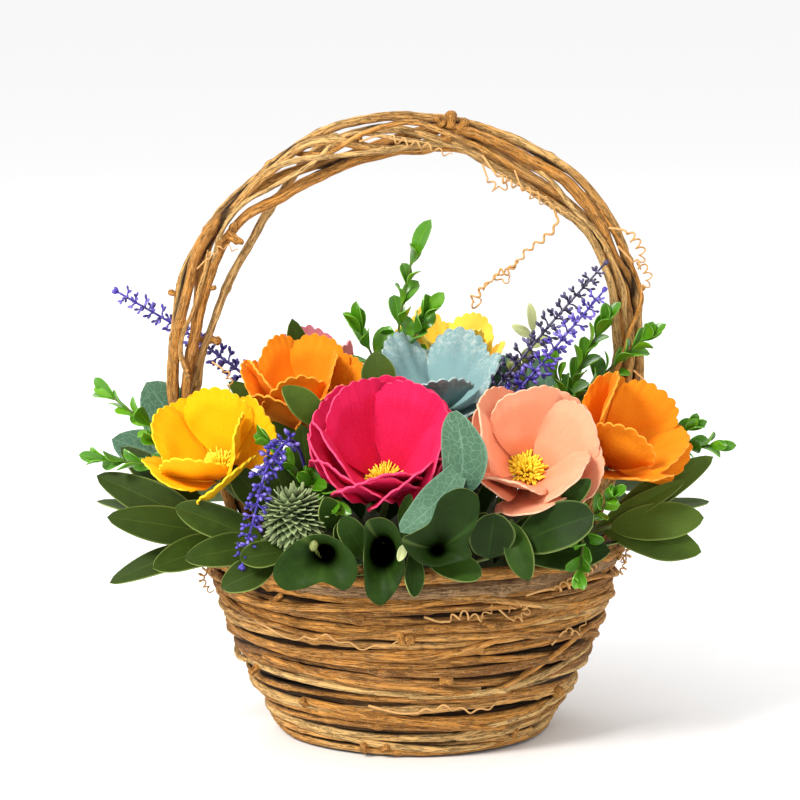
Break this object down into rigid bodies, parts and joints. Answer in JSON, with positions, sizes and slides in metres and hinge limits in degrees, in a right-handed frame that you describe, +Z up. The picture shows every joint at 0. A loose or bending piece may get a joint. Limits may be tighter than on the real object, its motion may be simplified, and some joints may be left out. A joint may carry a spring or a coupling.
{
  "type": "flower basket arrangement",
  "caption": "Round grapevine basket with one arched twisted-vine handle, filled with shaved-wood flowers, preserved leaves, boxwood, lavender and a thistle head.",
  "frame": {"origin": "centre of the flat spot under the basket, on the surface it stands on", "axes": "+Z up, +X to the right as the front is seen, -Y towards the front, where the magenta and peach blooms are"},
  "size_m": [0.2963, 0.2144, 0.2759],
  "materials": {
    "vine": "peeled tan and orange-brown grapevine",
    "bark": "grey-brown cracked grapevine bark",
    "foam": "dark green floral foam",
    "petal_magenta": "matte dyed wood shaving, magenta",
    "petal_peach": "matte dyed wood shaving, peach",
    "petal_yellow": "matte dyed wood shaving, golden yellow",
    "petal_orange": "matte dyed wood shaving, orange",
    "petal_blue": "matte dyed wood shaving, dusty blue",
    "petal_pale": "matte dyed wood shaving, pale yellow",
    "petal_pink": "matte dyed wood shaving, pink",
    "stamen": "soft yellow threads",
    "leaf": "preserved dark green leaf, satin",
    "boxwood": "preserved boxwood leaf, bright green, glossy",
    "eucalyptus": "blue-green preserved eucalyptus leaf, pale net of veins",
    "lavender": "dyed violet buds",
    "lavender_dark": "dark slate-violet buds",
    "thistle": "grey-green bracts"
  },
  "bodies": {
    "root": {"basket_base": "vine", "basket_band_1": "vine", "basket_band_2": "bark", "basket_band_3": "vine", "basket_band_4": "bark", "basket_band_5": "vine", "handle_vine_1": "vine", "handle_vine_2": "bark", "handle_vine_3": "vine", "handle_vine_4": "bark", "handle_vine_5": "vine", "bloom_magenta": "petal_magenta", "stamens_magenta": "stamen", "bloom_peach": "petal_peach", "stamens_peach": "stamen", "bloom_yellow_left": "petal_yellow", "stamens_yellow_left": "stamen", "bloom_orange_left": "petal_orange", "stamens_orange_left": "stamen", "bloom_blue": "petal_blue", "stamens_blue": "stamen", "bloom_yellow_back": "petal_pale", "stamens_yellow_back": "stamen", "bloom_orange_right": "petal_orange", "stamens_orange_right": "stamen", "bloom_pink_left": "petal_pink", "bloom_pink_right": "petal_pink", "bloom_peach_back": "petal_peach", "stamens_peach_back": "stamen", "eucalyptus_front": "eucalyptus", "eucalyptus_left": "eucalyptus", "eucalyptus_right": "eucalyptus", "thistle": "thistle", "lavender_left": "lavender", "lavender_front": "lavender", "lavender_right_dark": "lavender_dark", "lavender_right_bright": "lavender", "boxwood_top": "boxwood", "boxwood_left": "boxwood", "boxwood_right": "boxwood", "boxwood_right_low": "boxwood", "boxwood_front": "boxwood", "boxwood_thistle_side": "boxwood", "boxwood_back": "boxwood", "leaves_left": "leaf", "leaves_front_left": "leaf", "leaves_front_cups": "leaf", "leaves_front_centre": "leaf", "leaves_front_right": "leaf", "leaves_right": "leaf", "leaves_back_left": "leaf", "leaves_back": "leaf", "leaves_back_right": "leaf", "leaves_top": "leaf", "leaves_top_left": "leaf", "floral_foam": "foam"}
  },
  "joints": []
}
